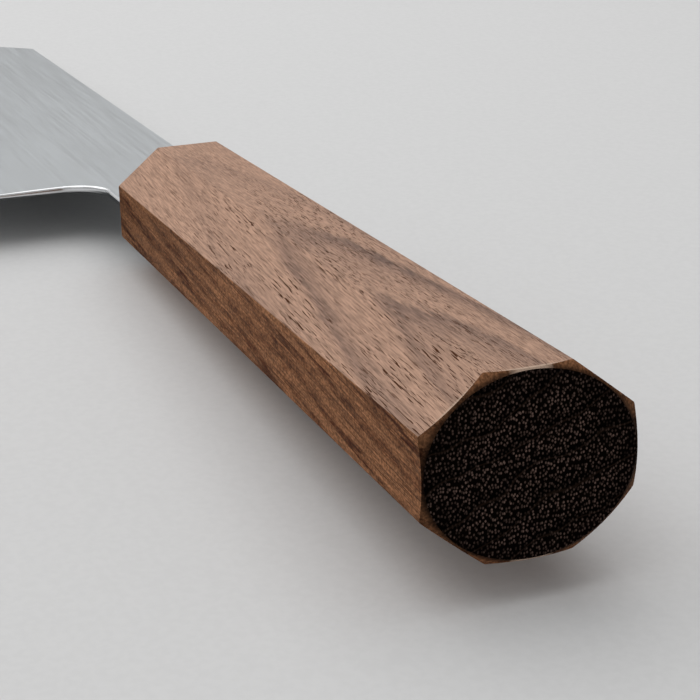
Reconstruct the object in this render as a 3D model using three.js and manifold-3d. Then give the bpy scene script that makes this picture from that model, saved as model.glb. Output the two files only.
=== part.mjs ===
// A bunka: a Japanese kitchen knife with a clipped tip, on a one-piece octagonal walnut handle.
// Lengths are millimetres and angles degrees. While the pieces are drawn, X runs along the handle's axis
// towards the tip and is zero at the handle's front face, Y runs from the spine to the cutting edge, and Z is
// square to the blade. At the end the knife is set down on its side, with the origin under its middle.

import * as THREE from "three";
import { mergeVertices } from "three/addons/utils/BufferGeometryUtils.js";
import Module from "manifold-3d";

const wasm = await Module();
wasm.setup();

// Handle: a tapered octagon. Its side flats lie along the blade's faces, and its edge flats along the spine and
// the cutting edge. Corner flats join them.
const HANDLE_LENGTH = 130;
const BUTT_HEIGHT = 26.1;
const BUTT_THICKNESS = 22.4;
const BUTT_SIDE_FLAT = 10.8;
const FRONT_HEIGHT = 23.5;
const FRONT_THICKNESS = 19.5;
const FRONT_SIDE_FLAT = 9.8;
const CORNER_FLAT_ANGLE = 39.1; // between a corner flat and a side flat
const LONG_EDGE_RADIUS = 0.45; // easing of the eight long edges
const BUTT_EASE = 0.17; // what the turned butt chamfer takes off the middle of a side flat
const BUTT_CHAMFER_ANGLE = 50; // of the turned butt chamfer, from the handle's axis
const FRONT_EASE = 0.6; // what the flat chamfers at the front take off each flat
const FRONT_CHAMFER_ANGLE = 37; // of the flat chamfers at the front, from the handle's axis

// Blade, measured in its own plane.
const BLADE_LENGTH = 170; // heel to tip
const HEEL_HEIGHT = 48; // spine to edge at the heel
const SPINE_ABOVE_AXIS = 8.6; // spine to the handle's axis
const NECK_LENGTH = 17.8; // handle to heel
const NECK_HEIGHT = 19.2;
const CHOIL_RADIUS = 6.5; // hollow between neck and heel
const CLIP_ANGLE = 42; // between the clipped tip and the spine
const TIP_RISE = 14.5; // height of the tip over the straight stretch of edge
const STRAIGHT_EDGE = 62; // edge length from the heel that lies flat on a board
const BELLY_POWER = 2.2; // how late the rest of the edge sweeps up

// Blade, measured through its thickness.
const SPINE_THICKNESS = 2.2; // from the tang to the heel
const CLIP_THICKNESS = 1.3; // of the spine where the clip starts
const SHOULDER_THICKNESS = 0.4; // just behind the sharpened bevel
const BEVEL_HEIGHT = 0.8; // of the sharpened bevel
const SPINE_EASE = 0.35; // chamfer along the spine and the clip
const CHOIL_EASE = 0.4; // chamfer along the neck, the choil and the heel

// Hidden tang and its seat in the handle.
const BUTT_COVER = 34; // wood left behind the end of the tang
const TANG_ROOT = 14; // tang height at the handle's front
const TANG_END = 7; // tang height at its end
const NOTCH_RADIUS = 1.4; // half-round glue keys in both edges of the tang
const NOTCHES_PER_EDGE = 3;
const PLUNGE_LENGTH = 5; // run-out of the grind into the flat tang
const BEDDING_WALL = 1.2; // room for adhesive all round the tang
const FIT_GAP = 0.2; // between the adhesive and what it holds
const SHOULDER_GAP = 0.3; // between the neck's shoulders and the handle's front face

// Fineness of the curved faces.
const EDGE_STEPS = 3;
const TURNING_SEGMENTS = 96;
const GRIND_STEPS = 32;
const CURVE_DIVISIONS = 12;
const OVERSIZE = 3; // how far cutting solids run past what they cut

const spineY = -SPINE_ABOVE_AXIS;
const neckY = spineY + NECK_HEIGHT;
const edgeY = spineY + HEEL_HEIGHT;
const heelX = NECK_LENGTH;
const tipX = heelX + BLADE_LENGTH;
const tipY = edgeY - TIP_RISE;
const clipSlope = Math.tan(THREE.MathUtils.degToRad(CLIP_ANGLE));
const cornerSlope = Math.tan(THREE.MathUtils.degToRad(CORNER_FLAT_ANGLE));
const buttSlope = Math.tan(THREE.MathUtils.degToRad(BUTT_CHAMFER_ANGLE));
const frontSlope = Math.tan(THREE.MathUtils.degToRad(FRONT_CHAMFER_ANGLE));
const clipX = tipX - (tipY - spineY) / clipSlope;
const bellyX = heelX + STRAIGHT_EDGE;
const tangLength = HANDLE_LENGTH - BUTT_COVER;
const mortiseThickness = SPINE_THICKNESS + 2 * BEDDING_WALL;

// A closed solid from any three.js geometry, ready to be cut and joined.
function solidOf(geometry) {
  const bare = new THREE.BufferGeometry();
  bare.setAttribute("position", geometry.getAttribute("position"));
  bare.setIndex(geometry.index);
  const merged = mergeVertices(bare, 1e-4);
  return new wasm.Manifold(
    new wasm.Mesh({
      numProp: 3,
      vertProperties: merged.attributes.position.array,
      triVerts: merged.index.array,
    }),
  );
}

// A cut or joined solid as a geometry again.
function geometryOf(solid) {
  const { vertProperties, triVerts } = solid.getMesh();
  const geometry = new THREE.BufferGeometry();
  geometry.setAttribute("position", new THREE.BufferAttribute(vertProperties, 3));
  geometry.setIndex(new THREE.BufferAttribute(triVerts, 1));
  geometry.computeVertexNormals();
  return geometry;
}

// A solid through a row of convex sections with as many points each, closed by a fan at both ends.
// The points of a section turn anticlockwise for an eye that the row comes towards.
function loft(sections) {
  const around = sections[0].length;
  const centreOf = (section) =>
    section.reduce((sum, p) => sum.add(p), new THREE.Vector3()).divideScalar(around);
  const points = [...sections.flat(), centreOf(sections[0]), centreOf(sections.at(-1))];
  const firstCentre = around * sections.length;
  const lastRing = around * (sections.length - 1);
  const triangles = [];
  for (let i = 0; i < around; i++) {
    const next = (i + 1) % around;
    triangles.push(firstCentre, next, i);
    triangles.push(firstCentre + 1, lastRing + i, lastRing + next);
    for (let ring = 0; ring < lastRing; ring += around) {
      triangles.push(ring + i, ring + next, ring + around + next);
      triangles.push(ring + i, ring + around + next, ring + around + i);
    }
  }
  const geometry = new THREE.BufferGeometry().setFromPoints(points);
  geometry.setIndex(triangles);
  return solidOf(geometry);
}

// A plate with an outline drawn in X and Y, centred on the blade's middle plane.
function plate(outline, thickness) {
  const geometry = new THREE.ExtrudeGeometry(outline, {
    depth: thickness,
    bevelEnabled: false,
    curveSegments: CURVE_DIVISIONS,
  });
  return solidOf(geometry.translate(0, 0, -thickness / 2));
}

// The corners of a convex outline, each rounded by an arc that touches both its sides.
function roundCorners(corners, radius) {
  return corners.flatMap((corner, i) => {
    const toLast = corners.at(i - 1).clone().sub(corner).normalize();
    const toNext = corners[(i + 1) % corners.length].clone().sub(corner).normalize();
    const halfAngle = Math.acos(toLast.dot(toNext)) / 2;
    const inward = toLast.clone().add(toNext).normalize();
    const centre = corner.clone().addScaledVector(inward, radius / Math.sin(halfAngle));
    const swing = Math.PI / 2 - halfAngle;
    const outward = Math.atan2(-inward.y, -inward.x);
    return Array.from({ length: EDGE_STEPS + 1 }, (_, step) => {
      const angle = outward + swing * ((2 * step) / EDGE_STEPS - 1);
      return new THREE.Vector2(Math.cos(angle), Math.sin(angle)).multiplyScalar(radius).add(centre);
    });
  });
}

// One octagonal section of the handle, with every flat moved in by an inset.
function handleSection(x, inset) {
  const atX = (butt, front) => THREE.MathUtils.mapLinear(x, -HANDLE_LENGTH, 0, butt, front);
  const height = atX(BUTT_HEIGHT, FRONT_HEIGHT) - 2 * inset;
  const thickness = atX(BUTT_THICKNESS, FRONT_THICKNESS) - 2 * inset;
  const narrowing = 2 * inset * Math.tan(THREE.MathUtils.degToRad(CORNER_FLAT_ANGLE / 2));
  const sideFlat = atX(BUTT_SIDE_FLAT, FRONT_SIDE_FLAT) - narrowing;
  const edgeHalf = thickness / 2 - cornerSlope * ((height - sideFlat) / 2);
  const quarter = [
    [height / 2, edgeHalf],
    [sideFlat / 2, thickness / 2],
  ];
  const mirrored = quarter.map(([y, z]) => [-y, z]).reverse();
  const upper = [...quarter, ...mirrored];
  const lower = upper.map(([y, z]) => [-y, -z]);
  const corners = [...upper, ...lower].map(([y, z]) => new THREE.Vector2(y, z));
  return roundCorners(corners, LONG_EDGE_RADIUS).map((p) => new THREE.Vector3(x, p.x, p.y));
}

// The solid that a chamfer turned on the butt leaves. It is as oval as the butt, so it barely breaks the middle
// of each flat and takes the most off the corners between flats.
function turnedButt() {
  const narrow = BUTT_THICKNESS / 2 - BUTT_EASE;
  const wide = (BUTT_HEIGHT + BUTT_THICKNESS) / 2;
  const run = (wide - narrow) / buttSlope;
  const far = HANDLE_LENGTH + OVERSIZE;
  const profile = [
    [0, 0],
    [narrow, 0],
    [wide, run],
    [wide, far],
    [0, far],
  ].map(([radius, along]) => new THREE.Vector2(radius, along));
  const geometry = new THREE.LatheGeometry(profile, TURNING_SEGMENTS);
  geometry.rotateZ(-Math.PI / 2).scale(1, BUTT_HEIGHT / BUTT_THICKNESS, 1);
  return solidOf(geometry.translate(-HANDLE_LENGTH, 0, 0));
}

// Outline of the slot for the tang, drilled to a round end, with every wall moved in by the given gap.
function mortiseOutline(gap) {
  const wall = BEDDING_WALL - gap;
  const endHalf = TANG_END / 2 + wall;
  const mouthHalf = TANG_ROOT / 2 + wall;
  const mouthX = gap ? -gap : OVERSIZE;
  const outline = new THREE.Shape();
  outline.moveTo(mouthX, -mouthHalf);
  outline.lineTo(mouthX, mouthHalf);
  outline.lineTo(-tangLength, endHalf);
  outline.absarc(-tangLength, 0, endHalf, Math.PI / 2, (3 * Math.PI) / 2);
  return outline;
}

// Outline of the tang with its glue keys, grown by a gap on all sides. It runs from rootX back to its round end.
function tangOutline(gap, rootX) {
  const endHalf = TANG_END / 2 + gap;
  const rootHalf = TANG_ROOT / 2 + gap;
  const keyRadius = NOTCH_RADIUS - gap;
  const keyPitch = tangLength / (NOTCHES_PER_EDGE + 1);
  const endX = endHalf - gap - tangLength;
  const halfAt = (x) => THREE.MathUtils.mapLinear(x, endX, 0, endHalf, rootHalf);
  const lean = Math.atan2(rootHalf - endHalf, -endX);
  const outline = new THREE.Shape();
  outline.moveTo(rootX, -rootHalf);
  outline.lineTo(rootX, rootHalf);
  outline.lineTo(0, rootHalf);
  for (let key = 1; key <= NOTCHES_PER_EDGE; key++) {
    const x = -key * keyPitch;
    outline.absarc(x, halfAt(x), keyRadius, lean, lean + Math.PI, true);
  }
  outline.absarc(endX, 0, endHalf, Math.PI / 2, (3 * Math.PI) / 2);
  for (let key = NOTCHES_PER_EDGE; key >= 1; key--) {
    const x = -key * keyPitch;
    outline.absarc(x, -halfAt(x), keyRadius, Math.PI - lean, -lean, true);
  }
  outline.lineTo(0, -rootHalf);
  return outline;
}

// Height of the cutting edge along the blade: straight from the heel, then swept up to the tip.
function edgeAt(x) {
  const sweep = Math.max(0, (x - bellyX) / (tipX - bellyX));
  return edgeY - TIP_RISE * sweep ** BELLY_POWER;
}

// Half thickness of the spine along the blade, with its taper towards the tip.
function spineHalf(x) {
  const taper = Math.max(0, (x - heelX) / (clipX - heelX));
  return THREE.MathUtils.lerp(SPINE_THICKNESS, CLIP_THICKNESS, taper) / 2;
}

// Half thickness of the ground blade at a point of its face.
function groundHalf(x, y) {
  const shoulderY = edgeAt(x) - BEVEL_HEIGHT;
  const down = THREE.MathUtils.clamp((y - spineY) / (shoulderY - spineY), 0, 1);
  return THREE.MathUtils.lerp(spineHalf(x), SHOULDER_THICKNESS / 2, down);
}

// Section of the ground blade: flat faces from the spine to the shoulder, then the sharpened bevel.
function groundSection(x) {
  const spine = spineHalf(x);
  const shoulder = SHOULDER_THICKNESS / 2;
  const shoulderY = edgeAt(x) - BEVEL_HEIGHT;
  return kiteSection(x, spine, [shoulderY, shoulder], edgeAt(x));
}

// Section of the flat tang, wider than the blank so that only its faces cut.
function tangSection(x) {
  const half = SPINE_THICKNESS / 2;
  return kiteSection(x, half, [edgeY, half], edgeY + OVERSIZE);
}

// A seven-sided section, alike on both faces: over the spine, at the spine, at the shoulder and at the edge.
function kiteSection(x, spine, [shoulderY, shoulder], apexY) {
  const upper = [
    [shoulderY, shoulder],
    [spineY, spine],
    [spineY - OVERSIZE, spine],
  ];
  const lower = upper.map(([y, z]) => [y, -z]).reverse();
  return [[apexY, 0], ...upper, ...lower].map(([y, z]) => new THREE.Vector3(x, y, z));
}

// What grinding leaves of the blank: the flat tang, the plunge, and the blade's faces up to past the tip.
function grindEnvelope() {
  const step = (BLADE_LENGTH + OVERSIZE) / GRIND_STEPS;
  const stations = Array.from({ length: GRIND_STEPS + 1 }, (_, i) => heelX + i * step);
  return loft([
    tangSection(-tangLength - OVERSIZE),
    tangSection(-PLUNGE_LENGTH),
    ...[0, ...stations].map(groundSection),
  ]);
}

// From the neck round the choil and along the heel, past the edge.
function choilLine() {
  const radius = Math.min(CHOIL_RADIUS, heelX - 2 * SHOULDER_GAP);
  const line = new THREE.Path();
  line.moveTo(SHOULDER_GAP, neckY);
  line.lineTo(heelX - radius, neckY);
  line.absarc(heelX - radius, neckY + radius, radius, -Math.PI / 2, 0);
  line.lineTo(heelX, edgeY + OVERSIZE);
  return line.getPoints(CURVE_DIVISIONS);
}

// From past the tip along the clip and the spine, back to the neck's shoulder.
function spineLine() {
  const pastTip = new THREE.Vector2(tipX + OVERSIZE, tipY + OVERSIZE * clipSlope);
  const corner = new THREE.Vector2(clipX, spineY);
  const clip = new THREE.LineCurve(pastTip, corner).getPoints(CURVE_DIVISIONS);
  return [...clip, new THREE.Vector2(heelX, spineY), new THREE.Vector2(SHOULDER_GAP, spineY)];
}

// The blank as it is cut from plate: blade, neck and tang in one, with steel left beyond the edge.
function bladeBlank() {
  const outline = new THREE.Shape([
    ...spineLine(),
    new THREE.Vector2(SHOULDER_GAP, -TANG_ROOT / 2),
    new THREE.Vector2(SHOULDER_GAP, TANG_ROOT / 2),
    ...choilLine(),
    new THREE.Vector2(tipX + OVERSIZE, edgeY + OVERSIZE),
  ]);
  const blade = plate(outline, 2 * SPINE_THICKNESS);
  return blade.add(plate(tangOutline(0, 2 * SHOULDER_GAP), 2 * SPINE_THICKNESS));
}

// A wedge that chamfers the rim of one face along a line of the outline, with steel on the line's right.
// Where the blade is thin, the chamfer shrinks with it.
function easingWedge(line, ease, face) {
  const sections = line.map((point, i) => {
    const last = line[Math.max(i - 1, 0)];
    const next = line[Math.min(i + 1, line.length - 1)];
    const before = point.clone().sub(last).normalize();
    const after = next.clone().sub(point).normalize();
    const along = before.clone().add(after).normalize();
    const mitre = 1 / Math.max(along.dot(before), along.dot(after));
    const out = new THREE.Vector2(-along.y, along.x).multiplyScalar(mitre);
    const half = groundHalf(point.x, point.y);
    const cut = Math.min(ease, half / 2);
    const corner = (offset, z) =>
      new THREE.Vector3(point.x + out.x * offset, point.y + out.y * offset, z * face);
    const triangle = [
      corner(-cut - 1, half + 1),
      corner(1, half - cut - 1),
      corner(1, half + 1),
    ];
    return face > 0 ? triangle : triangle.reverse();
  });
  return loft(sections);
}

function buildBlade() {
  let blade = bladeBlank().intersect(grindEnvelope());
  for (const face of [1, -1]) {
    blade = blade.subtract(easingWedge(spineLine(), SPINE_EASE, face));
    blade = blade.subtract(easingWedge(choilLine(), CHOIL_EASE, face));
  }
  return geometryOf(blade);
}

function buildHandle() {
  const octagon = loft([
    handleSection(-HANDLE_LENGTH, 0),
    handleSection(-FRONT_EASE / frontSlope, 0),
    handleSection(0, FRONT_EASE),
  ]);
  const mortise = plate(mortiseOutline(0), mortiseThickness);
  return geometryOf(octagon.intersect(turnedButt()).subtract(mortise));
}

function buildBedding() {
  const outside = plate(mortiseOutline(FIT_GAP), mortiseThickness - 2 * FIT_GAP);
  const inside = plate(tangOutline(FIT_GAP, OVERSIZE), SPINE_THICKNESS + 2 * FIT_GAP);
  return geometryOf(outside.subtract(inside));
}

const steel = new THREE.MeshStandardMaterial({ color: 0xb4b8b9, roughness: 0.35, metalness: 1 });
const walnut = new THREE.MeshStandardMaterial({ color: 0x9a7258, roughness: 0.6, metalness: 0 });
const epoxy = new THREE.MeshStandardMaterial({ color: 0x4a3a2c, roughness: 0.4, metalness: 0 });

function named(name, geometry, material) {
  const mesh = new THREE.Mesh(geometry, material);
  mesh.name = name;
  return mesh;
}

const knife = new THREE.Group();
knife.add(
  named("blade", buildBlade(), steel),
  named("handle", buildHandle(), walnut),
  named("tang_bedding", buildBedding(), epoxy),
);

// Set down on its side, with the origin on the table under the middle of its length and breadth.
const farSide = Math.min(spineY, -BUTT_HEIGHT / 2);
knife.position.set((HANDLE_LENGTH - tipX) / 2, -(edgeY + farSide) / 2, BUTT_THICKNESS / 2);

const part = new THREE.Group();
part.add(knife);

export default part;
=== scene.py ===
import math

import bmesh
import bpy
from bpy.props import FloatProperty, FloatVectorProperty, PointerProperty
from mathutils import Matrix, Vector


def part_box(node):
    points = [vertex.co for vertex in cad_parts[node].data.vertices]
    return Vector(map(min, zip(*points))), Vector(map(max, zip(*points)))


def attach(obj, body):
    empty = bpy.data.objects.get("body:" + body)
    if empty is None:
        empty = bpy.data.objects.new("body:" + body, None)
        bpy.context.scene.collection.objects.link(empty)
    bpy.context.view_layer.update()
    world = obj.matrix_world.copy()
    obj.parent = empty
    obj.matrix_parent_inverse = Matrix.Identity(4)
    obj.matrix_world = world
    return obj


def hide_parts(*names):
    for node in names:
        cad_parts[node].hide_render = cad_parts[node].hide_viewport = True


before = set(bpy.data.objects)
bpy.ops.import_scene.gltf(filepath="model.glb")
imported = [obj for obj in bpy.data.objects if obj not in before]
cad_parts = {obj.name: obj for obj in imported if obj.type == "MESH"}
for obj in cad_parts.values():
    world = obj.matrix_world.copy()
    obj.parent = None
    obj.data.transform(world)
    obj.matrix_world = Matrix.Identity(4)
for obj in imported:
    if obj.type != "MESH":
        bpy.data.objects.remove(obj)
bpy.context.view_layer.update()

bl_info = {
    "name": "Bunka knife",
    "version": (1, 0, 0),
    "blender": (4, 5, 0),
    "location": "View3D > Sidebar > Knife",
    "description": "Finishes a kitchen knife's blade, handle and bedding and lays it on a floor",
    "category": "Object",
}

MM = 0.001

# The solids' box before anything is dressed, and where the handle lies in the frame
HANDLE_LOW, HANDLE_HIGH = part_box("handle")
HANDLE_MIDDLE = (HANDLE_LOW + HANDLE_HIGH) / 2
HANDLE_HALF = (HANDLE_HIGH - HANDLE_LOW) / 2

# The frame's directions
LENGTHWISE = (1.0, 0.0, 0.0)
EDGEWAYS = (0.0, 1.0, 0.0)
UPWARDS = (0.0, 0.0, 1.0)

# Limits for the meshes
WELD_DISTANCE = 1e-4 * MM  # vertices nearer than this become one
FLAT_ANGLE = math.radians(0.05)  # faces that turn by less than this become one flat
CREASE = math.radians(28)  # edges that turn by more than this stay crisp
BLADE_CREASE = math.radians(50)  # the same on the blade
END_FACING = 0.9  # handle faces turned lengthwise by more than this show end grain

# Noises: the middle of their values, and the range that nearly all of them lie in
NOISE_MIDDLE = 0.5
NOISE_LOW, NOISE_HIGH = 0.3, 0.7

# Numbers of a mix node's two inputs and its output, for each kind of data
MIX_SOCKETS = {"FLOAT": (2, 3, 0), "VECTOR": (4, 5, 1), "RGBA": (6, 7, 2)}

# Cells of the walnut's noises, along the fibres and across them
SWAY_CELL = (45 * MM, 14 * MM)
FINE_CELL = (6 * MM, 0.2 * MM)
MOTTLE_CELL = (2.5 * MM, 0.7 * MM)
SPECKLE_CELL = (0.5 * MM, 0.3 * MM)
PORE_PATCH_CELL = (25 * MM, 3 * MM)
BAND_SWAY_CELL = (8 * MM, 8 * MM)
RING_LINE_CELL = (40 * MM, 1.6 * MM)  # along the rings, and from one to the next
RAGGED_RINGS = (  # cells that make the rings ragged, each with its depth
    ((22 * MM, 0.7 * MM), 3.6 * MM),
    ((26 * MM, 5 * MM), 1.6 * MM),
)

# Shape and strength of the walnut's fibres, rings, pores and bands
FIBRE_SWAY = 0.4 * MM  # how far the fibres stray from straight lines
BOW_START = -5 * MM  # height from the handle's axis where the rings start to bow
BOW_REACH = 10 * MM  # distance beside a ring's crest at which its bow is measured
MOTTLE_SHARE = 0.4  # how much the mottle breaks up the lines of the edge flats
SCRATCH_GAIN = 0.6  # how much paler a scratch on the edge flats is
PORE_DEPTH = 0.05 * MM
FINE_RELIEF = 0.12  # relief of the fibres, as a share of the pores' depth
FLECK_DEPTH = 0.03 * MM
FLECK_HEIGHT = 1.3  # a fleck's height over its width
FLECK_REACH = 0.6  # from a fleck's middle to the end of its soft edge, as a share of its width
FLECK_CORE = 0.3  # part of that reach that is fully pale
BAND_SWAY = 1.2  # how far the bands sway, in bands

# Through a year ring: the share of late wood, the end grain's brightness, and the line that starts it
LATE_CURVE = ((0.0, 0.4), (0.08, 0.95), (0.22, 0.65), (0.45, 0.22), (0.9, 0.0), (1.0, 0.4))
BAND_CURVE = ((0.0, 0.5), (0.1, 0.22), (0.3, 0.65), (0.85, 1.0), (1.0, 0.5))
LINE_CURVE = ((0.0, 0.0), (0.04, 0.8), (0.09, 0.0))

# Cells and depths of the other finishes
STEEL_CLOUD_CELL = (30 * MM, 12 * MM)
HAIRLINE_DEPTH = 0.002 * MM
MOTTLE_DEPTH = 0.03 * MM
FLOOR_TOOTH = 1.2 * MM

# The stage
FLOOR_REACH = 2.0  # from the middle of the floor to its sides, in metres
FLOOR_CELLS = 8
RESTING_DIGITS = 6  # decimals of a metre that the resting points are measured to
SENSOR_WIDTH = 36.0
CLIP_START = 10 * MM
SOFTBOXES = (  # name, place, width and height in metres, and the setting that holds the power
    ("overhead_light", (0.15, 0.1, 0.7), (1.4, 1.4), "overhead_power"),
    ("back_light", (0.75, -0.08, 0.28), (1.0, 0.3), "back_power"),
    ("fill_light", (-0.5, 0.35, 0.35), (0.4, 0.4), "fill_power"),
)


def colour(name, description, default):
    """A colour that a user can change."""
    return FloatVectorProperty(name=name, description=description, subtype="COLOR",
                               min=0.0, max=1.0, default=default)


def length(name, description, millimetres):
    """A length that a user can change, given in millimetres."""
    return FloatProperty(name=name, description=description, unit="LENGTH", min=0.0, precision=5,
                         default=millimetres * MM)


def angle(name, description, degrees):
    """An angle that a user can change, given in degrees."""
    return FloatProperty(name=name, description=description, subtype="ANGLE",
                         default=math.radians(degrees))


def share(name, description, default):
    """A share from nothing to all that a user can change."""
    return FloatProperty(name=name, description=description, subtype="FACTOR",
                         min=0.0, max=1.0, default=default)


def power(name, description, default):
    """A light's power that a user can change."""
    return FloatProperty(name=name, description=description, unit="POWER", min=0.0, default=default)


class WalnutSettings(bpy.types.PropertyGroup):
    """Colours and grain of the walnut handle."""
    early_wood: colour("Early wood", "Pale wood of each year ring", (0.45, 0.28, 0.2))
    late_wood: colour("Late wood", "Grey-brown wood of each year ring", (0.165, 0.108, 0.089))
    quartered_wood: colour("Quartered wood", "Browner wood on the edge flats", (0.265, 0.12, 0.057))
    quartered_line: colour("Quartered lines", "Dark lines on those flats", (0.05, 0.012, 0.004))
    pore: colour("Pore", "Open pores on the long flats", (0.075, 0.027, 0.011))
    # Pale colour of the butt's rim and the chamfers' upper and lower parts: partly worn wood, partly a
    # painted highlight.
    worn_and_highlit_wood: colour("Worn wood", "Rubbed wood on the butt's rim", (0.52, 0.38, 0.29))
    # Near black: partly oil-soaked end grain, partly painted shade on the butt.
    shaded_end_wood: colour("End wood", "Oil-soaked wood of the end grain", (0.002, 0.0009, 0.0005))
    end_fleck: colour("End fleck", "Pores of the end grain, full of pale dust", (0.165, 0.107, 0.088))
    end_ring: colour("End ring", "Line between two rings of the end grain", (0.016, 0.009, 0.006))
    ring_width: length("Ring width", "From one year ring to the next", 6.2)
    ring_start: length("Ring start", "Height of a ring's dark line above the handle's axis", 10.1)
    ring_bow: length("Ring bow", "How far a ring sinks 10 mm beside its crest on the upper flats", 7.1)
    ring_dip: angle("Ring dip", "How far the rings dip towards the butt", 7.4)
    ring_lean: angle("Ring lean", "How far the rings lean across the handle", 31)
    fibre_dip: angle("Fibre dip", "How far the fibres dip towards the butt", 3.2)
    fibre_drift: angle("Fibre drift", "How far the fibres drift sideways towards the tip", 1.3)
    pore_length: length("Pore length", "Of the longest pores, with the gap to the next", 32)
    pore_pitch: length("Pore pitch", "From one open pore on the flats to the next", 0.15)
    fleck_pitch: length("Fleck pitch", "From one filled pore of the end grain to the next", 0.38)
    fleck_width: length("Fleck width", "Across a filled pore of the end grain", 0.27)
    band_width: length("Band width", "From one dark band of the end grain to the next", 4.0)
    band_lean: angle("Band lean", "How far the end grain's bands lean across the butt", 22)
    roughness: share("Roughness", "Of the oiled surface", 0.6)


class SteelSettings(bpy.types.PropertyGroup):
    """Colour and finish of the blade."""
    steel: colour("Steel", "Satin steel of the blade's flat sides", (0.385, 0.403, 0.415))
    # Paler steel on the edges: partly polished steel, partly a painted glint.
    polished_and_glinting_steel: colour("Polished steel", "Bright steel of spine, heel and choil", (0.75, 0.76, 0.77))
    hairline_length: length("Hairline length", "Of the satin finish's scratches", 26)
    hairline_pitch: length("Hairline pitch", "From one scratch to the next", 0.18)
    satin_roughness: share("Satin roughness", "Of the blade's flat sides", 0.36)
    polished_roughness: share("Polished roughness", "Of the spine, heel and choil", 0.16)


class BeddingSettings(bpy.types.PropertyGroup):
    """Colour of the adhesive that beds the tang."""
    adhesive: colour("Adhesive", "Cured adhesive around the tang", (0.07, 0.045, 0.03))
    mottle_size: length("Mottle size", "Of the cloudy patches in the adhesive", 1.5)
    roughness: share("Roughness", "Of the cured surface", 0.6)


class StageSettings(bpy.types.PropertyGroup):
    """Floor, lights and camera."""
    floor: colour("Floor", "Plain pale floor", (0.62, 0.62, 0.62))
    overhead_power: power("Overhead light", "Large softbox above the blade's tip", 7.2)
    back_power: power("Back light", "Low softbox past the blade's tip", 0.25)
    fill_power: power("Fill light", "Weak softbox behind the camera, on its left", 0.1)
    surround: share("Surround", "Brightness of the room", 0.42)
    focal_length: FloatProperty(name="Focal length", description="Of the camera's lens",
                                unit="CAMERA", default=110.0)
    camera_place: FloatVectorProperty(name="Camera place", description="Where the camera stands",
                                      unit="LENGTH", subtype="TRANSLATION", precision=4,
                                      default=(-0.35645, 0.08064, 0.09675))
    camera_heading: angle("Camera heading", "Left of the handle's axis, or right below zero", -20.29)
    camera_pitch: angle("Camera pitch", "Up from the blade's plane, or down below zero", -18.22)
    camera_roll: angle("Camera roll", "About the line of sight", -1.74)


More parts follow.
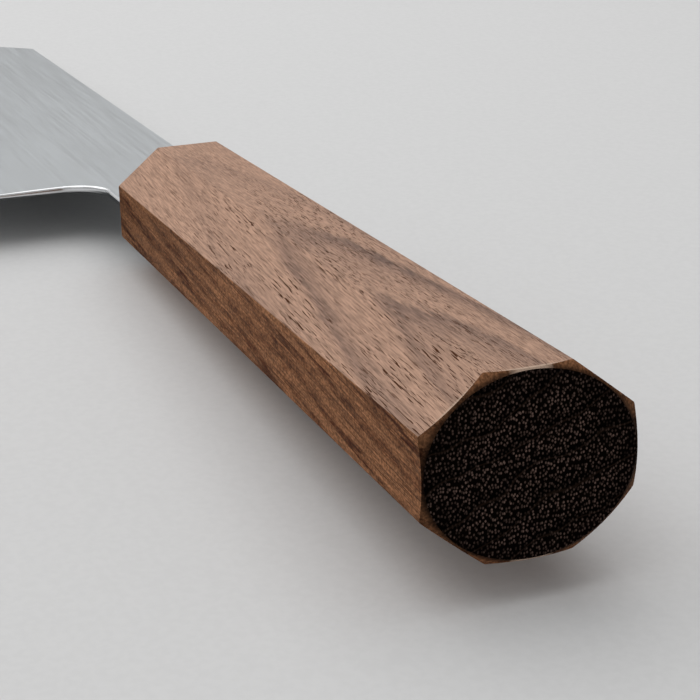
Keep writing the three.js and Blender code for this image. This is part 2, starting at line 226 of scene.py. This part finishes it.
class Finish:
    """A material's node tree, with one short method for each kind of step."""

    def __init__(self, name):
        self.material = bpy.data.materials.new(name)
        self.material.use_nodes = True
        self.tree = self.material.node_tree
        self.tree.nodes.clear()
        output = self.tree.nodes.new("ShaderNodeOutputMaterial")
        self.shader = self.tree.nodes.new("ShaderNodeBsdfPrincipled")
        self.tree.links.new(self.shader.outputs["BSDF"], output.inputs["Surface"])

    def set(self, socket, value):
        """Links an input to another node's output, or sets its own value."""
        if isinstance(value, bpy.types.NodeSocket):
            self.tree.links.new(value, socket)
        elif hasattr(socket.default_value, "__len__") and len(socket.default_value) == 4:
            socket.default_value = (*value, 1.0)
        else:
            socket.default_value = value

    def node(self, kind, settings, inputs):
        """A node with its settings, and its inputs by name or number."""
        made = self.tree.nodes.new(kind)
        for key, value in settings.items():
            setattr(made, key, value)
        for key, value in inputs.items():
            self.set(made.inputs[key], value)
        return made

    def surface(self, **inputs):
        """Inputs of the surface's shader, with an underscore for each space in a name."""
        for key, value in inputs.items():
            self.set(self.shader.inputs[key.replace("_", " ")], value)

    def place(self):
        """Where a point is on the knife."""
        return self.tree.nodes.new("ShaderNodeTexCoord").outputs["Object"]

    def normal(self):
        """Which way the surface faces."""
        return self.tree.nodes.new("ShaderNodeNewGeometry").outputs["Normal"]

    def facing(self, axis):
        """How far the surface faces along an axis, either way."""
        return self.math("ABSOLUTE", self.vector("DOT_PRODUCT", self.normal(), axis))

    def math(self, operation, first, second=0.0, third=0.0):
        """A sum on up to three numbers."""
        made = self.node("ShaderNodeMath", {"operation": operation}, {0: first, 1: second, 2: third})
        return made.outputs["Value"]

    def product(self, first, *others):
        """Numbers multiplied."""
        for other in others:
            first = self.math("MULTIPLY", first, other)
        return first

    def vector(self, operation, first, second=(0.0, 0.0, 0.0)):
        """A sum on one or two vectors."""
        made = self.node("ShaderNodeVectorMath", {"operation": operation}, {0: first, 1: second})
        return made.outputs["Value" if operation in ("DOT_PRODUCT", "LENGTH") else "Vector"]

    def split(self, vector):
        """A vector's three numbers, by the names X, Y and Z."""
        return self.node("ShaderNodeSeparateXYZ", {}, {"Vector": vector}).outputs

    def joined(self, x, y):
        """A vector of two numbers."""
        return self.node("ShaderNodeCombineXYZ", {}, {"X": x, "Y": y}).outputs["Vector"]

    def ease(self, value, start, end, before=0.0, after=1.0):
        """A number that goes softly from one amount before a range to another after it."""
        made = self.node("ShaderNodeMapRange", {"interpolation_type": "SMOOTHSTEP"},
                         {"Value": value, "From Min": start, "From Max": end,
                          "To Min": before, "To Max": after})
        return made.outputs["Result"]

    def swing(self, noise, low, high):
        """A noise taken from its own range to another."""
        return self.ease(noise, NOISE_LOW, NOISE_HIGH, low, high)

    def stretched(self, place, along, across):
        """A place measured in cells with one length along the knife and another across it."""
        return self.vector("MULTIPLY", place, (1 / along, 1 / across, 1 / across))

    def noise(self, place, detail=2.0, roughness=0.5, output="Fac"):
        """A smooth random number with one swell in each cell."""
        made = self.node("ShaderNodeTexNoise", {"noise_dimensions": "3D"},
                         {"Vector": place, "Scale": 1.0, "Detail": detail, "Roughness": roughness})
        return made.outputs[output]

    def mix(self, kind, amount, first, second):
        """Two numbers, vectors or colours mixed."""
        first_input, second_input, result = MIX_SOCKETS[kind]
        made = self.node("ShaderNodeMix", {"data_type": kind},
                         {0: amount, first_input: first, second_input: second})
        return made.outputs[result]

    def blend(self, amount, first, second):
        """Two colours mixed."""
        return self.mix("RGBA", amount, first, second)

    def tinted(self, tone, shade):
        """A colour made lighter or darker."""
        made = self.node("ShaderNodeVectorMath", {"operation": "SCALE"}, {0: tone, "Scale": shade})
        return made.outputs["Vector"]

    def curve(self, value, stops):
        """A number read off a curve through the stops given."""
        made = self.node("ShaderNodeValToRGB", {}, {"Fac": value})
        ramp = made.color_ramp
        for place, _ in stops[2:]:
            ramp.elements.new(place)
        for element, (place, height) in zip(ramp.elements, stops):
            element.position = place
            element.color = (height, height, height, 1.0)
        return made.outputs["Color"]

    def bump(self, height, depth, **normal):
        """Small relief, in metres for a height of one, on the normal given or else the surface's own."""
        made = self.node("ShaderNodeBump", {},
                         {"Height": height, "Distance": depth, "Strength": 1.0, **normal})
        self.surface(Normal=made.outputs["Normal"])


class Walnut(Finish):
    """A finish with the fibres and year rings of the block that the handle is cut from."""

    def __init__(self, name, settings):
        super().__init__(name)
        self.settings = settings
        turned = self.node("ShaderNodeMapping", {"vector_type": "TEXTURE"},
                           {"Vector": self.place(), "Location": HANDLE_MIDDLE,
                            "Rotation": (0.0, -settings.fibre_dip, -settings.fibre_drift)})
        straight = turned.outputs["Vector"]
        sway = self.noise(self.stretched(straight, *SWAY_CELL), output="Color")
        sway = self.vector("SUBTRACT", sway, (NOISE_MIDDLE, NOISE_MIDDLE, NOISE_MIDDLE))
        sway = self.vector("MULTIPLY", sway, (0.0, FIBRE_SWAY, FIBRE_SWAY))
        self.fibres = self.vector("ADD", straight, sway)
        self.along, self.across, self.above = self.split(self.fibres)

    def streaks(self, along, across, detail=3.0):
        """A random number that changes slowly along the fibres and fast across them."""
        return self.noise(self.stretched(self.fibres, along, across), detail, roughness=0.6)

    def ring_level(self):
        """Height at which a point's ring passes the handle's middle, with ragged rings."""
        dip = math.tan(self.settings.ring_dip) - math.tan(self.settings.fibre_dip)
        level = self.math("MULTIPLY_ADD", self.along, -dip, self.above)
        for cell, depth in RAGGED_RINGS:
            ragged = self.math("SUBTRACT", self.streaks(*cell, detail=4.0), NOISE_MIDDLE)
            level = self.math("MULTIPLY_ADD", ragged, depth, level)
        return level

    def arch(self):
        """How the rings lean across the handle, and bow in its upper part."""
        bow = self.ease(self.above, BOW_START, HANDLE_HALF.z,
                        before=0.0, after=self.settings.ring_bow / BOW_REACH ** 2)
        lean = self.math("SUBTRACT", math.tan(self.settings.ring_lean), self.product(self.across, bow))
        return self.product(self.across, lean)

    def late_wood(self, level):
        """The share of late wood at a point, from its place in its year ring."""
        height = self.math("SUBTRACT", self.math("ADD", level, self.arch()), self.settings.ring_start)
        season = self.math("FRACT", self.math("DIVIDE", height, self.settings.ring_width))
        return self.curve(season, LATE_CURVE)

    def ring_lines(self, level):
        """A random number that changes slowly along the rings and fast from one to the next."""
        along, apart = RING_LINE_CELL
        place = self.joined(self.math("DIVIDE", self.along, along), self.math("DIVIDE", level, apart))
        return self.noise(place, detail=3.0)


def figured_wood(wood, level, upright):
    """Colour of the side and corner flats: arched rings that fade at both ends and on the corners, with
    painted shade that darkens the side flats.
    """
    settings = wood.settings
    side_flat = wood.ease(upright, 0.85, 0.97)
    at_butt = wood.ease(wood.along, -50 * MM, -20 * MM, before=0.75, after=1.0)
    at_front = wood.ease(wood.along, -12 * MM, 16 * MM, before=1.0, after=0.3)
    on_corner = wood.mix("FLOAT", side_flat, 0.75, 1.0)
    late = wood.product(wood.late_wood(level), at_butt, at_front, on_corner)
    tone = wood.blend(late, settings.early_wood, settings.late_wood)
    # Painted shade: the side flats are painted 8% darker than the corner flats, standing in for how the
    # light falls on them.
    painted_side_shade = wood.mix("FLOAT", side_flat, 1.0, 0.92)
    return wood.tinted(tone, painted_side_shade)


def quartered_wood(wood, level):
    """Colour of the edge flats: brown with dark lines and a fine speckle, darker towards the front."""
    settings = wood.settings
    mottle = wood.streaks(*MOTTLE_CELL)
    mottled = wood.math("MULTIPLY_ADD", mottle, MOTTLE_SHARE, wood.ring_lines(level))
    tone = wood.blend(wood.ease(mottled, 0.45, 0.8), settings.quartered_line, settings.quartered_wood)
    at_front = wood.ease(wood.along, 0.0, HANDLE_HALF.x, before=1.0, after=0.75)
    speckle = wood.noise(wood.stretched(wood.fibres, *SPECKLE_CELL), detail=1.0)
    return wood.tinted(tone, wood.product(at_front, wood.swing(speckle, 0.65, 1.35)))


def open_pores(wood, hollow):
    """Where pores are open: in patches, and fainter towards the front."""
    patch = wood.ease(wood.streaks(*PORE_PATCH_CELL), 0.35, 0.6, before=0.3, after=1.0)
    at_front = wood.ease(wood.along, 10 * MM, 40 * MM, before=1.0, after=0.4)
    return wood.product(wood.ease(hollow, 0.6, 0.64), patch, at_front)


def chamfer_wood(wood, quartered, upright, from_butt):
    """Colour of the chamfers: dark with oil by the butt's end grain, darker with painted shade where they
    face sideways, and pale on the knife's two sides, partly worn wood and partly a painted highlight.
    """
    soaked = wood.ease(from_butt, 0.0, 0.6 * MM, before=0.2, after=0.9)
    # Painted shade: chamfer parts that face sideways are painted darker.
    shaded = wood.ease(upright, 0.1, 0.5, before=0.3, after=1.0)
    # Pale where the chamfer faces up or down: partly worn wood, partly a painted highlight.
    rubbed_and_highlit = wood.ease(upright, 0.628, 0.64, before=0.0, after=0.8)
    oiled_and_shaded = wood.tinted(quartered, wood.product(soaked, shaded))
    return wood.blend(rubbed_and_highlit, oiled_and_shaded, wood.settings.worn_and_highlit_wood)


def long_grain_finish(settings):
    """Oiled walnut on the long flats and the chamfers."""
    wood = Walnut("oiled_walnut", settings)
    level = wood.ring_level()
    upright = wood.facing(UPWARDS)
    edge_flat = wood.ease(wood.facing(EDGEWAYS), 0.7, 0.95)
    sloped = wood.ease(wood.facing(LENGTHWISE), 0.25, 0.55)
    from_butt = wood.math("SUBTRACT", wood.split(wood.place())["X"], HANDLE_LOW.x)
    fine = wood.streaks(*FINE_CELL)
    hollow = wood.streaks(settings.pore_length, settings.pore_pitch, detail=1.0)
    pore = open_pores(wood, hollow)
    scratch = wood.product(wood.ease(hollow, 0.3, 0.35, before=1.0, after=0.0), edge_flat)
    # Pale rim within 0.8 mm of the butt, off the edge flats: partly worn wood, partly a painted highlight
    # of the rounded rim.
    rim = wood.ease(from_butt, 0.35 * MM, 0.8 * MM, before=0.8, after=0.0)
    worn_and_highlit = wood.product(rim, wood.math("SUBTRACT", 1.0, edge_flat))

    quartered = quartered_wood(wood, level)
    flat = wood.blend(edge_flat, figured_wood(wood, level, upright), quartered)
    flat = wood.tinted(flat, wood.swing(fine, 0.71, 1.24))
    flat = wood.tinted(flat, wood.math("MULTIPLY_ADD", scratch, SCRATCH_GAIN, 1.0))
    flat = wood.blend(pore, flat, settings.pore)
    flat = wood.blend(worn_and_highlit, flat, settings.worn_and_highlit_wood)
    chamfer = chamfer_wood(wood, quartered, upright, from_butt)
    wood.surface(Base_Color=wood.blend(sloped, flat, chamfer),
                 Roughness=wood.swing(fine, settings.roughness - 0.06, settings.roughness + 0.08),
                 Specular_IOR_Level=0.03)
    wood.bump(wood.math("SUBTRACT", wood.product(fine, FINE_RELIEF), pore), PORE_DEPTH)
    return wood.material


def filled_pores(wood):
    """Where the end grain's pores are, and how much pale dust each one holds."""
    settings = wood.settings
    section = wood.joined(wood.across, wood.math("DIVIDE", wood.above, FLECK_HEIGHT))
    cells = wood.node("ShaderNodeTexVoronoi", {"voronoi_dimensions": "2D", "feature": "F1"},
                      {"Vector": section, "Scale": 1 / settings.fleck_pitch})
    reach = FLECK_REACH * settings.fleck_width / settings.fleck_pitch
    fleck = wood.ease(cells.outputs["Distance"], FLECK_CORE * reach, reach, before=1.0, after=0.0)
    chance = wood.node("ShaderNodeSeparateColor", {}, {"Color": cells.outputs["Color"]})
    dust = wood.ease(chance.outputs["Red"], 0.0, 1.0, before=0.2, after=1.0)
    return fleck, dust


def end_season(wood):
    """How far a point of the end grain is through its year ring."""
    lean = wood.settings.band_lean
    uphill = Vector((0.0, math.sin(lean), math.cos(lean))) / wood.settings.band_width
    sway = wood.streaks(*BAND_SWAY_CELL, detail=1.0)
    height = wood.vector("DOT_PRODUCT", wood.fibres, uphill)
    return wood.math("FRACT", wood.math("MULTIPLY_ADD", sway, BAND_SWAY, height))


def end_grain_finish(settings):
    """Oil-soaked end grain, near black partly as painted shade, with pale flecks in its pores, dimmer at
    the rim, and faint year rings.
    """
    wood = Walnut("walnut_end_grain", settings)
    fleck, dust = filled_pores(wood)
    season = end_season(wood)
    band = wood.curve(season, BAND_CURVE)
    from_axis = wood.vector("SUBTRACT", wood.place(), HANDLE_MIDDLE)
    outwards = wood.vector("MULTIPLY", from_axis, (0.0, 1 / HANDLE_HALF.y, 1 / HANDLE_HALF.z))
    at_rim = wood.ease(wood.vector("LENGTH", outwards), 0.6, 1.0, before=1.0, after=0.5)
    line = wood.curve(season, LINE_CURVE)
    # The near-black end wood here is partly painted shade.
    dark = wood.blend(line, wood.tinted(settings.shaded_end_wood, band), settings.end_ring)
    pale = wood.product(fleck, dust, at_rim, band)
    wood.surface(Base_Color=wood.blend(pale, dark, settings.end_fleck),
                 Roughness=0.75, Specular_IOR_Level=0.01)
    wood.bump(wood.product(fleck, -1.0), FLECK_DEPTH)
    return wood.material


def steel_finish(settings):
    """Satin steel with fine lengthwise hairlines, polished on the spine, heel and choil, whose paler colour
    there is partly a painted glint.
    """
    steel = Finish("satin_steel")
    place = steel.place()
    hairline = steel.noise(steel.stretched(place, settings.hairline_length, settings.hairline_pitch),
                           detail=3.0, roughness=0.6)
    cloud = steel.noise(steel.stretched(place, *STEEL_CLOUD_CELL))
    upright = steel.facing(UPWARDS)
    satin = steel.ease(upright, 0.9, 0.995)
    shade = steel.product(steel.swing(hairline, 0.88, 1.1), steel.swing(cloud, 0.98, 1.02))
    # The spine, heel and choil get a much paler steel colour: partly polished steel, partly a painted
    # glint.
    tone = steel.blend(satin, settings.polished_and_glinting_steel, steel.tinted(settings.steel, shade))
    brushed = steel.swing(hairline, settings.satin_roughness - 0.07, settings.satin_roughness + 0.07)
    rough = steel.mix("FLOAT", satin, settings.polished_roughness, brushed)
    steel.surface(Base_Color=tone, Metallic=1.0, Roughness=rough)

    # The facets of the ground sides shade as one flat
    normal = steel.normal()
    level = steel.vector("SIGN", steel.vector("MULTIPLY", normal, UPWARDS))
    ground = steel.mix("VECTOR", steel.ease(upright, 0.98, 0.995), normal, level)
    steel.bump(steel.product(hairline, satin), HAIRLINE_DEPTH, Normal=ground)
    return steel.material


def bedding_finish(settings):
    """Dull, slightly cloudy adhesive."""
    glue = Finish("cured_adhesive")
    cloud = glue.noise(glue.stretched(glue.place(), settings.mottle_size, settings.mottle_size), detail=3.0)
    glue.surface(Base_Color=glue.tinted(settings.adhesive, glue.swing(cloud, 0.75, 1.25)),
                 Roughness=settings.roughness)
    glue.bump(cloud, MOTTLE_DEPTH)
    return glue.material


def floor_finish(settings):
    """Plain pale floor with a faint, fine tooth."""
    floor = Finish("pale_floor")
    tooth = floor.noise(floor.stretched(floor.place(), FLOOR_TOOTH, FLOOR_TOOTH))
    floor.surface(Base_Color=floor.tinted(settings.floor, floor.swing(tooth, 0.985, 1.015)), Roughness=0.8)
    return floor.material


def refined_copy(node, piece_name, crease=CREASE):
    """A smooth-shaded copy of a CAD node's mesh with flat faces whole, which stands for the node."""
    shape = bmesh.new()
    shape.from_mesh(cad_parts[node].data)
    bmesh.ops.remove_doubles(shape, verts=shape.verts, dist=WELD_DISTANCE)
    bmesh.ops.dissolve_limit(shape, angle_limit=FLAT_ANGLE, verts=shape.verts, edges=shape.edges)
    for face in shape.faces:
        face.smooth = True
    for edge in shape.edges:
        edge.smooth = edge.calc_face_angle() < crease
    mesh = bpy.data.meshes.new(piece_name)
    shape.to_mesh(mesh)
    shape.free()
    piece = bpy.data.objects.new(piece_name, mesh)
    bpy.context.scene.collection.objects.link(piece)
    flats = piece.modifiers.new("keep the flats flat", "WEIGHTED_NORMAL")
    flats.keep_sharp = True
    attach(piece, "root")
    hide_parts(node)
    return piece


def resting_line():
    """The two low points, one on each side of the knife's middle, that it lies on."""
    points = {(round(vertex.co.x, RESTING_DIGITS), round(vertex.co.z, RESTING_DIGITS))
              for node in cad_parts.values() for vertex in node.data.vertices}
    # The lower hull of the knife's outline, seen from the side
    lower = []
    for x, z in sorted(points):
        while len(lower) > 1:
            (x0, z0), (x1, z1) = lower[-2:]
            if (x1 - x0) * (z - z0) - (z1 - z0) * (x - x0) > 0:
                break
            lower.pop()
        lower.append((x, z))
    return next((a, b) for a, b in zip(lower, lower[1:]) if a[0] <= 0 < b[0])


def make_floor(settings):
    """A floor that touches the knife's two resting points."""
    (x0, z0), (x1, z1) = resting_line()
    tilt = Matrix.Rotation(math.atan2(z0 - z1, x1 - x0), 4, "Y")
    grid = bmesh.new()
    bmesh.ops.create_grid(grid, x_segments=FLOOR_CELLS, y_segments=FLOOR_CELLS, size=FLOOR_REACH)
    grid.transform(Matrix.Translation((x0, 0.0, z0)) @ tilt)
    mesh = bpy.data.meshes.new("floor")
    grid.to_mesh(mesh)
    grid.free()
    mesh.materials.append(floor_finish(settings))
    floor = bpy.data.objects.new("floor", mesh)
    bpy.context.scene.collection.objects.link(floor)


def make_softbox(name, place, size, watts):
    """A soft rectangular light at a place, turned to the handle."""
    light = bpy.data.lights.new(name, "AREA")
    light.shape = "RECTANGLE"
    light.size, light.size_y = size
    light.energy = watts
    holder = bpy.data.objects.new(name, light)
    holder.location = place
    holder.rotation_euler = (HANDLE_MIDDLE - Vector(place)).to_track_quat("-Z", "Y").to_euler()
    bpy.context.scene.collection.objects.link(holder)


def make_room(settings):
    """A plain white surround, shown without a film look."""
    world = bpy.data.worlds.new("pale_room")
    world.use_nodes = True
    background = world.node_tree.nodes["Background"]
    background.inputs["Color"].default_value = (1.0, 1.0, 1.0, 1.0)
    background.inputs["Strength"].default_value = settings.surround
    bpy.context.scene.world = world
    bpy.context.scene.view_settings.view_transform = "Standard"


def make_camera(settings):
    """The camera behind the butt, looking along the handle at the blade."""
    heading, pitch = settings.camera_heading, settings.camera_pitch
    ahead = Vector((math.cos(pitch) * math.cos(heading),
                    math.cos(pitch) * math.sin(heading),
                    math.sin(pitch)))
    right = ahead.cross(Vector(UPWARDS)).normalized()
    level = Matrix((right, right.cross(ahead), -ahead)).transposed()
    rolled = level @ Matrix.Rotation(settings.camera_roll, 3, "Z")
    lens = bpy.data.cameras.new("camera")
    lens.sensor_width = SENSOR_WIDTH
    lens.lens = settings.focal_length
    lens.clip_start = CLIP_START
    camera = bpy.data.objects.new("camera", lens)
    camera.matrix_world = Matrix.Translation(settings.camera_place) @ rolled.to_4x4()
    bpy.context.scene.collection.objects.link(camera)
    bpy.context.scene.camera = camera


class KNIFE_OT_blade(bpy.types.Operator):
    """Make the satin steel blade."""
    bl_idname = "knife.blade"
    bl_label = "Blade"

    def execute(self, context):
        blade = refined_copy("blade", "satin_blade", BLADE_CREASE)
        blade.data.materials.append(steel_finish(context.scene.knife_steel))
        return {"FINISHED"}


class KNIFE_OT_handle(bpy.types.Operator):
    """Make the walnut handle."""
    bl_idname = "knife.handle"
    bl_label = "Handle"

    def execute(self, context):
        handle = refined_copy("handle", "walnut_handle")
        handle.data.materials.append(long_grain_finish(context.scene.knife_walnut))
        handle.data.materials.append(end_grain_finish(context.scene.knife_walnut))
        for face in handle.data.polygons:
            face.material_index = int(abs(face.normal.x) > END_FACING)
        return {"FINISHED"}


class KNIFE_OT_bedding(bpy.types.Operator):
    """Make the adhesive around the tang."""
    bl_idname = "knife.bedding"
    bl_label = "Tang bedding"

    def execute(self, context):
        bedding = refined_copy("tang_bedding", "adhesive_bedding")
        bedding.data.materials.append(bedding_finish(context.scene.knife_bedding))
        return {"FINISHED"}


class KNIFE_OT_stage(bpy.types.Operator):
    """Set the floor, the lights and the camera."""
    bl_idname = "knife.stage"
    bl_label = "Stage"

    def execute(self, context):
        settings = context.scene.knife_stage
        make_floor(settings)
        for name, place, size, power_setting in SOFTBOXES:
            make_softbox(name, place, size, getattr(settings, power_setting))
        make_room(settings)
        make_camera(settings)
        return {"FINISHED"}


class KNIFE_PT_sidebar(bpy.types.Panel):
    """Lists the knife's pieces and the stage, with their settings."""
    bl_idname = "KNIFE_PT_sidebar"
    bl_label = "Knife"
    bl_space_type = "VIEW_3D"
    bl_region_type = "UI"
    bl_category = "Knife"

    def draw(self, context):
        for operator, settings in PANEL_ROWS:
            box = self.layout.box()
            box.operator(operator.bl_idname)
            group = getattr(context.scene, settings)
            for prop in group.bl_rna.properties:
                if prop.identifier not in ("rna_type", "name"):
                    box.prop(group, prop.identifier)


PANEL_ROWS = (
    (KNIFE_OT_blade, "knife_steel"),
    (KNIFE_OT_handle, "knife_walnut"),
    (KNIFE_OT_bedding, "knife_bedding"),
    (KNIFE_OT_stage, "knife_stage"),
)
SETTINGS = {
    "knife_steel": SteelSettings,
    "knife_walnut": WalnutSettings,
    "knife_bedding": BeddingSettings,
    "knife_stage": StageSettings,
}
CLASSES = (*SETTINGS.values(), *(operator for operator, _ in PANEL_ROWS), KNIFE_PT_sidebar)


def register():
    for each in CLASSES:
        bpy.utils.register_class(each)
    for name, group in SETTINGS.items():
        setattr(bpy.types.Scene, name, PointerProperty(type=group))


def unregister():
    for name in SETTINGS:
        delattr(bpy.types.Scene, name)
    for each in reversed(CLASSES):
        bpy.utils.unregister_class(each)


def main():
    register()
    bpy.ops.knife.stage()
    bpy.ops.knife.blade()
    bpy.ops.knife.handle()
    bpy.ops.knife.bedding()


if __name__ == "__main__":
    main()
